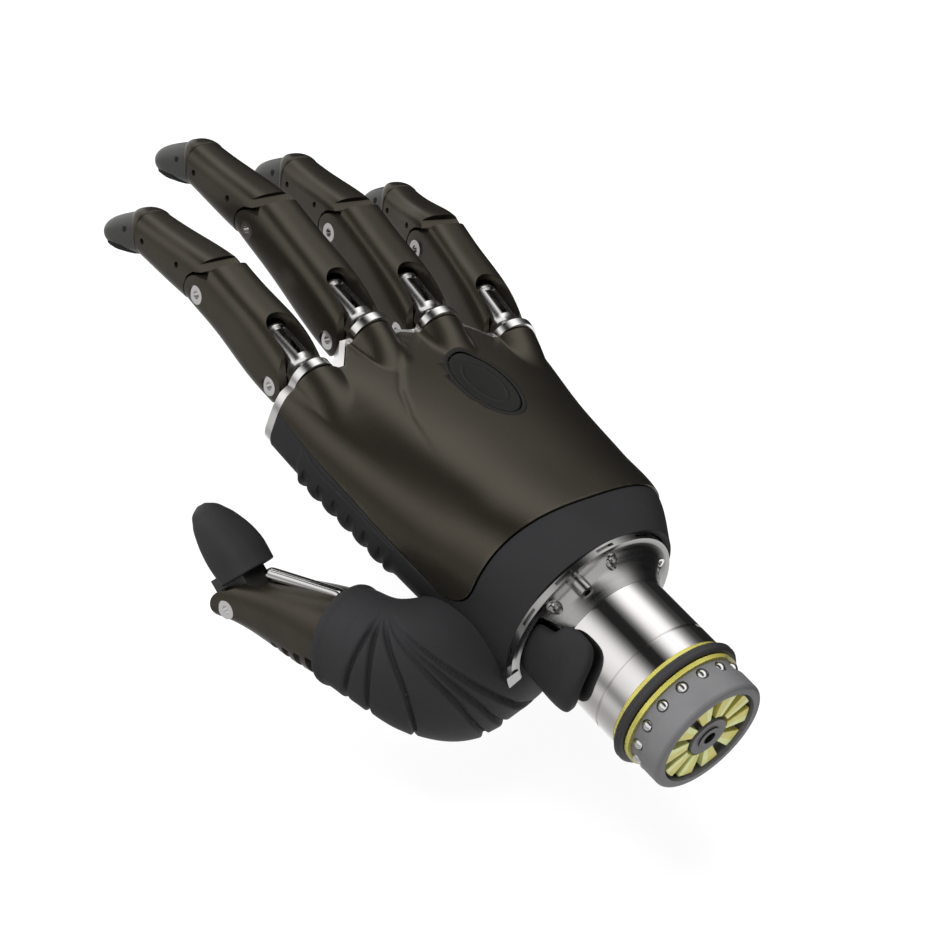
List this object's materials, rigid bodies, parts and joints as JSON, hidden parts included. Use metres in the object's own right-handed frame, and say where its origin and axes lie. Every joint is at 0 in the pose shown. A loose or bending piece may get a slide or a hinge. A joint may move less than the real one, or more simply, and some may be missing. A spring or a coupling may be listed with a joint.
{
  "type": "bionic prosthetic hand",
  "caption": "Right prosthetic hand with driven fingers, a swinging thumb under a rubber boot, a dorsal cover with a program button and a quick-disconnect wrist.",
  "frame": {"origin": "centre of the wrist coupling's end face, on the wrist axis", "axes": "+Y along the wrist axis towards the fingers, +Z out of the back of the hand, +X towards the little finger"},
  "size_m": [0.1086, 0.2227, 0.0744],
  "materials": {
    "drum_grey": "satin machined drum, dark grey",
    "steel": "polished screws, pins, balls and rods",
    "lime_plastic": "pale yellow-green contact wedges",
    "olive_band": "olive-yellow bearing bands",
    "black_rubber": "black seal and fingertip pads",
    "grey_rubber": "dark grey matte grip rubber",
    "barrel_chrome": "polished wrist barrel",
    "bright_alloy": "polished light alloy",
    "shell_paint": "dark olive-brown satin metallic shell",
    "bronze_bush": "plain bearing bush",
    "board_green": "circuit board",
    "inner_black": "inner black plastic"
  },
  "bodies": {
    "coupling": {"coupling_drum": "drum_grey", "coupling_balls": "steel", "coupling_wedges": "lime_plastic", "coax_plug": "drum_grey", "friction_band": "olive_band", "shaft_circlip": "steel"},
    "palm": {"wrist_seal": "black_rubber", "band_rear": "olive_band", "wrist_barrel": "barrel_chrome", "wrist_bush": "bronze_bush", "wrist_flange": "bright_alloy", "flange_screws": "steel", "heel_bumper": "grey_rubber", "chassis_frame": "bright_alloy", "dorsal_cover": "shell_paint", "palm_shell": "grey_rubber", "grip_ribs": "grey_rubber", "drive_tubes": "bright_alloy", "finger_motors": "steel", "control_board": "board_green", "button_switch": "inner_black", "thumb_bracket": "bright_alloy", "thumb_boot": "grey_rubber"},
    "button": {"program_button": "inner_black"},
    "index_base": {"index_proximal": "shell_paint", "index_pins": "steel"},
    "index_end": {"index_middle": "shell_paint", "index_fingertip": "grey_rubber", "index_tip_pad": "black_rubber"},
    "index_rod": {"index_push_rod": "steel"},
    "middle_base": {"middle_proximal": "shell_paint", "middle_pins": "steel"},
    "middle_end": {"middle_middle": "shell_paint", "middle_fingertip": "grey_rubber", "middle_tip_pad": "black_rubber"},
    "middle_rod": {"middle_push_rod": "steel"},
    "ring_base": {"ring_proximal": "shell_paint", "ring_pins": "steel"},
    "ring_end": {"ring_middle": "shell_paint", "ring_fingertip": "grey_rubber", "ring_tip_pad": "black_rubber"},
    "ring_rod": {"ring_push_rod": "steel"},
    "little_base": {"little_proximal": "shell_paint", "little_pins": "steel"},
    "little_end": {"little_middle": "shell_paint", "little_fingertip": "grey_rubber", "little_tip_pad": "black_rubber"},
    "little_rod": {"little_push_rod": "steel"},
    "thumb_base": {"thumb_carrier": "bright_alloy", "thumb_bend_pin": "steel"},
    "thumb_middle": {"thumb_shell": "shell_paint", "thumb_ip_pin": "steel"},
    "thumb_end": {"thumb_tip": "grey_rubber", "thumb_tip_core": "inner_black"},
    "thumb_rod": {"thumb_push_rod": "bright_alloy"}
  },
  "joints": [
    {"name": "wrist_rotation", "type": "hinge", "parent": "coupling", "child": "palm", "pos_m": [0, 0.02, 0], "axis": [0, 1, 0], "continuous": true},
    {"name": "button_press", "type": "slide", "parent": "palm", "child": "button", "axis": [0, 0, -1], "range_m": [0, 0.001], "stiffness_N_per_m": 300, "springref_m": -0.0004},
    {"name": "index_knuckle", "type": "hinge", "parent": "palm", "child": "index_base", "pos_m": [-0.0295, 0.1325, 0.0105], "axis": [-0.9994, 0.0349, 0], "range_deg": [0, 75]},
    {"name": "index_middle_joint", "type": "hinge", "parent": "index_base", "child": "index_end", "pos_m": [-0.02833, 0.1659, 0.01284], "axis": [-0.9994, 0.0349, 0], "range_deg": [0, 67.5]},
    {"name": "index_rod_slide", "type": "slide", "parent": "palm", "child": "index_rod", "axis": [0.0349, 0.9994, 0], "range_m": [0, 0.00862]},
    {"name": "middle_knuckle", "type": "hinge", "parent": "palm", "child": "middle_base", "pos_m": [-0.008, 0.138, 0.015], "axis": [-0.9986, 0.0523, 0], "range_deg": [0, 75]},
    {"name": "middle_middle_joint", "type": "hinge", "parent": "middle_base", "child": "middle_end", "pos_m": [-0.00595, 0.17715, 0.01981], "axis": [-0.9986, 0.0523, 0], "range_deg": [0, 67.5]},
    {"name": "middle_rod_slide", "type": "slide", "parent": "palm", "child": "middle_rod", "axis": [0.0523, 0.9986, 0], "range_m": [0, 0.00862]},
    {"name": "ring_knuckle", "type": "hinge", "parent": "palm", "child": "ring_base", "pos_m": [0.013, 0.1345, 0.0145], "axis": [-0.9903, 0.1392, 0], "range_deg": [0, 75]},
    {"name": "ring_middle_joint", "type": "hinge", "parent": "ring_base", "child": "ring_end", "pos_m": [0.01813, 0.17103, 0.0174], "axis": [-0.9903, 0.1392, 0], "range_deg": [0, 67.5]},
    {"name": "ring_rod_slide", "type": "slide", "parent": "palm", "child": "ring_rod", "axis": [0.1392, 0.9903, 0], "range_m": [0, 0.00862]},
    {"name": "little_knuckle", "type": "hinge", "parent": "palm", "child": "little_base", "pos_m": [0.0335, 0.126, 0.012], "axis": [-0.9781, 0.2079, 0], "range_deg": [0, 75]},
    {"name": "little_middle_joint", "type": "hinge", "parent": "little_base", "child": "little_end", "pos_m": [0.04076, 0.16015, 0.01444], "axis": [-0.9781, 0.2079, 0], "range_deg": [0, 67.5]},
    {"name": "little_rod_slide", "type": "slide", "parent": "palm", "child": "little_rod", "axis": [0.2079, 0.9781, 0], "range_m": [0, 0.00862]},
    {"name": "thumb_swing", "type": "hinge", "parent": "palm", "child": "thumb_base", "pos_m": [-0.04194, 0.0699, -0.02196], "axis": [-0.1736, 0.9848, 0], "range_deg": [0, 68], "deforming": ["thumb_boot"]},
    {"name": "thumb_bend", "type": "hinge", "parent": "thumb_base", "child": "thumb_middle", "pos_m": [-0.04194, 0.0699, -0.02196], "axis": [-0.9848, -0.1736, 0], "range_deg": [-30, 8], "deforming": ["thumb_boot"]},
    {"name": "thumb_tip_joint", "type": "hinge", "parent": "thumb_middle", "child": "thumb_end", "pos_m": [-0.04845, 0.10683, -0.03436], "axis": [-0.9848, -0.1736, 0], "range_deg": [-15, 4]},
    {"name": "thumb_rod_slide", "type": "slide", "parent": "thumb_middle", "child": "thumb_rod", "axis": [-0.1582, 0.8973, -0.4122], "range_m": [-0.00263, 0.00071]}
  ],
  "couplings": [
    {"joint": "index_middle_joint", "follows": "index_knuckle", "ratio": 0.9},
    {"joint": "index_rod_slide", "follows": "index_knuckle", "m_per_rad": 0.0065853},
    {"joint": "middle_middle_joint", "follows": "middle_knuckle", "ratio": 0.9},
    {"joint": "middle_rod_slide", "follows": "middle_knuckle", "m_per_rad": 0.0065853},
    {"joint": "ring_middle_joint", "follows": "ring_knuckle", "ratio": 0.9},
    {"joint": "ring_rod_slide", "follows": "ring_knuckle", "m_per_rad": 0.0065853},
    {"joint": "little_middle_joint", "follows": "little_knuckle", "ratio": 0.9},
    {"joint": "little_rod_slide", "follows": "little_knuckle", "m_per_rad": 0.0065853},
    {"joint": "thumb_tip_joint", "follows": "thumb_bend", "ratio": 0.5},
    {"joint": "thumb_rod_slide", "follows": "thumb_bend", "m_per_rad": 0.005}
  ]
}
